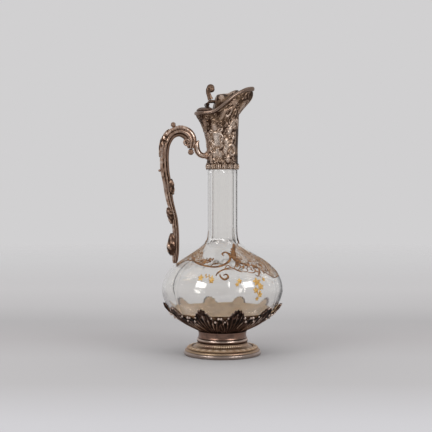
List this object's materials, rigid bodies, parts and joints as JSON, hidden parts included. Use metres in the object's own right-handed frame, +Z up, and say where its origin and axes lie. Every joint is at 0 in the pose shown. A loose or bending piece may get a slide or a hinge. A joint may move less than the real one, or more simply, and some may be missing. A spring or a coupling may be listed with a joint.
{
  "type": "claret jug",
  "caption": "Tall lobed glass jug on a round metal foot, with a chased metal collar, raised spout, scroll handle and hinged lid with a thumb lever.",
  "frame": {"origin": "centre of the foot, on the plane it stands on", "axes": "+Z up along the neck, +X towards the spout, -X towards the handle, hinge axis along Y"},
  "size_m": [0.1324, 0.1232, 0.2851],
  "materials": {
    "silver": "worn, warm-toned chased silver with dark recesses",
    "plain_silver": "smooth polished silver with soft scratches",
    "glass": "clear polished crystal",
    "plaster": "matt plaster"
  },
  "bodies": {
    "jug": {"foot_rim": "plain_silver", "foot_shell": "plain_silver", "foot_leaf_border": "silver", "stem_ring": "plain_silver", "base_band": "plain_silver", "calyx": "silver", "base_cement": "plaster", "glass_body": "glass", "neck_cement": "plaster", "neck_collar": "silver", "collar_leaf_border": "silver", "mouth_rim": "plain_silver", "rear_deck": "plain_silver", "hinge_plate": "plain_silver", "hinge_pin": "plain_silver", "pin_caps": "plain_silver", "handle_scroll": "silver", "handle_bracket": "silver", "handle_socket": "silver", "handle_bud": "silver", "handle_crest_bead": "silver", "handle_back_bead": "silver", "handle_upper_acanthus": "silver", "handle_inner_leaf": "silver", "handle_lower_acanthus": "silver", "handle_foot_boss": "silver"},
    "lid": {"lid_knuckle": "plain_silver", "lid_shell": "silver", "lid_border": "plain_silver", "lid_bezel": "plain_silver", "thumbpiece": "silver"}
  },
  "joints": [
    {"name": "lid_hinge", "type": "hinge", "parent": "jug", "child": "lid", "pos_m": [-0.0165, 0, 0.2635], "axis": [0, -1, 0], "range_deg": [0, 100]}
  ]
}
